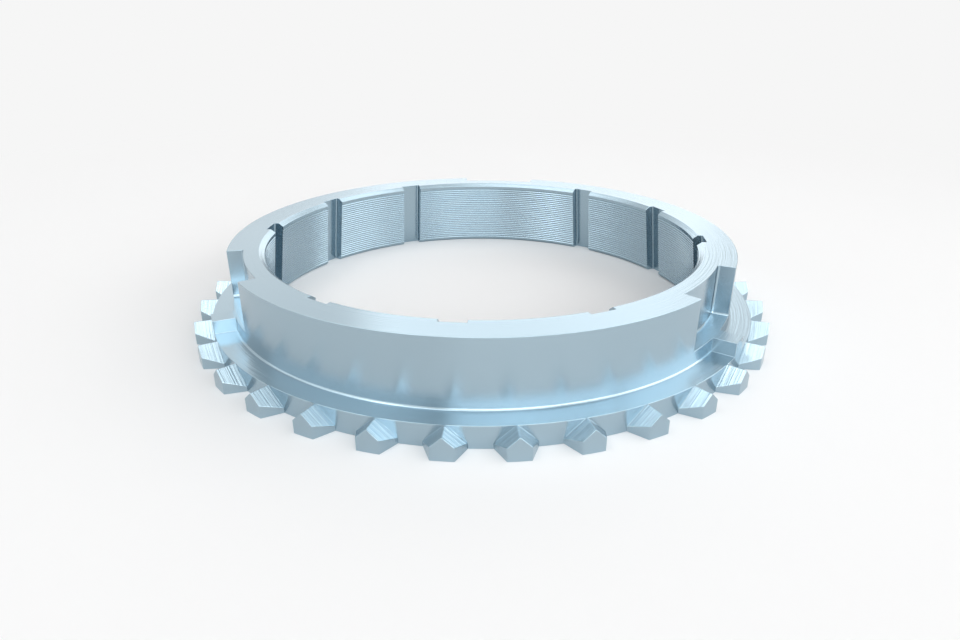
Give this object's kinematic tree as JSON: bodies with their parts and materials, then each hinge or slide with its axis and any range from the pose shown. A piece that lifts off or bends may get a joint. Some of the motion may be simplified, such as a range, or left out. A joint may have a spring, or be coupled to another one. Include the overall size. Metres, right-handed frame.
{
  "type": "synchronizer ring",
  "caption": "Steel blocker ring with a conical friction bore, key slots in its barrel and pointed teeth round its flange, for matching speeds in a manual gearbox.",
  "frame": {"origin": "on the ring's axis, in the bottom face of the toothed flange", "axes": "+Z along the ring's axis from the toothed flange to the barrel's top face, which is up as it rests; +Y through the middle of one key slot; +X to the right seen from the picture's side, which is -Y"},
  "size_m": [0.0872, 0.0871, 0.012],
  "materials": {
    "steel": "satin machined, with fine turning marks"
  },
  "bodies": {
    "root": {"synchronizer_ring": "steel"}
  },
  "joints": []
}
